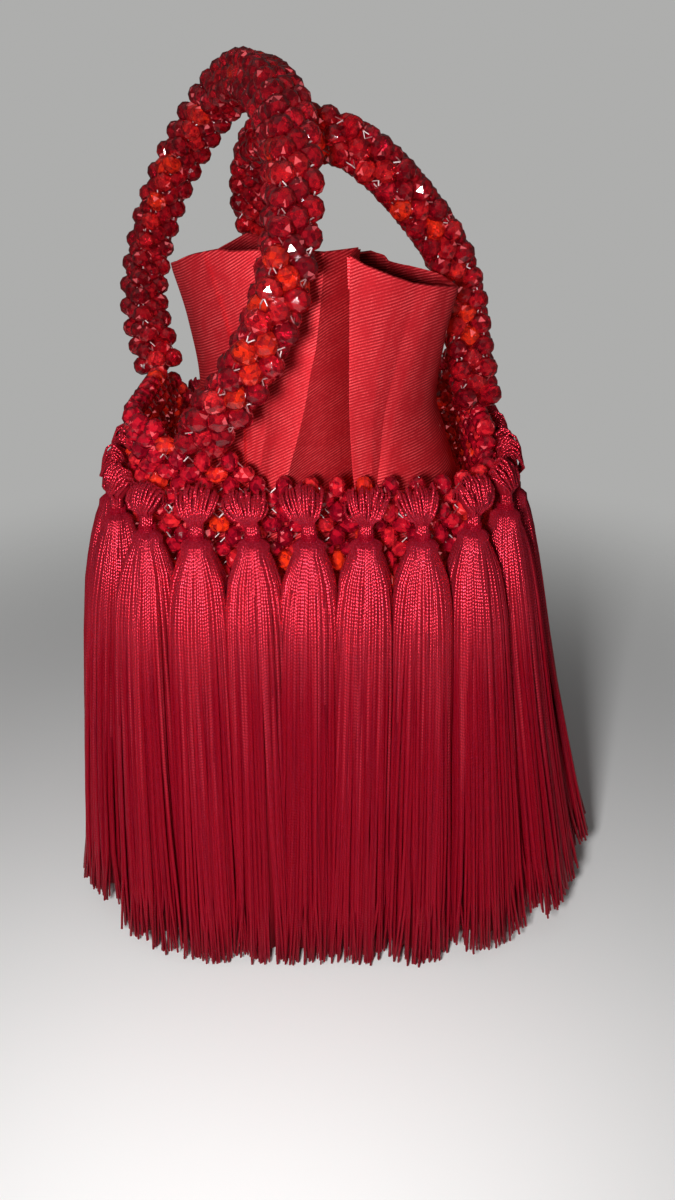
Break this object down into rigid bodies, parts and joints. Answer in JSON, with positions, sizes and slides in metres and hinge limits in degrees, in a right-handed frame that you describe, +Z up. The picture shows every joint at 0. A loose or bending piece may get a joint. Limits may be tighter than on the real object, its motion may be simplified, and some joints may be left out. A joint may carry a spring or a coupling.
{
  "type": "beaded bag",
  "caption": "Small bucket bag woven from faceted red beads, with beaded rope handles, a raised satin lining pouch and a ring of long thread tassels.",
  "frame": {"origin": "centre of the flat base, where the bag rests", "axes": "+Z up, -Y towards the front, +X to the front's right"},
  "size_m": [0.1875, 0.177, 0.2794],
  "materials": {
    "body_beads": "clear ruby, faceted",
    "handle_beads": "clear ruby, faceted",
    "lining_satin": "ribbed satin",
    "tassel_thread": "twisted silky thread"
  },
  "bodies": {
    "root": {"beaded_body": "body_beads", "rim_beads": "body_beads", "left_tab_lower_row": "body_beads", "left_tab_upper_row": "body_beads", "right_tab_lower_row": "body_beads", "right_tab_upper_row": "body_beads", "left_handle": "handle_beads", "right_handle": "handle_beads", "lining_pouch": "lining_satin", "tassel_01": "tassel_thread", "tassel_02": "tassel_thread", "tassel_03": "tassel_thread", "tassel_04": "tassel_thread", "tassel_05": "tassel_thread", "tassel_06": "tassel_thread", "tassel_07": "tassel_thread", "tassel_08": "tassel_thread", "tassel_09": "tassel_thread", "tassel_10": "tassel_thread", "tassel_11": "tassel_thread", "tassel_12": "tassel_thread", "tassel_13": "tassel_thread", "tassel_14": "tassel_thread", "tassel_15": "tassel_thread", "tassel_16": "tassel_thread", "tassel_17": "tassel_thread", "tassel_18": "tassel_thread", "tassel_19": "tassel_thread", "tassel_20": "tassel_thread", "tassel_21": "tassel_thread", "tassel_22": "tassel_thread", "tassel_23": "tassel_thread", "tassel_24": "tassel_thread", "tassel_25": "tassel_thread", "tassel_26": "tassel_thread", "tassel_27": "tassel_thread", "tassel_28": "tassel_thread"}
  },
  "joints": []
}
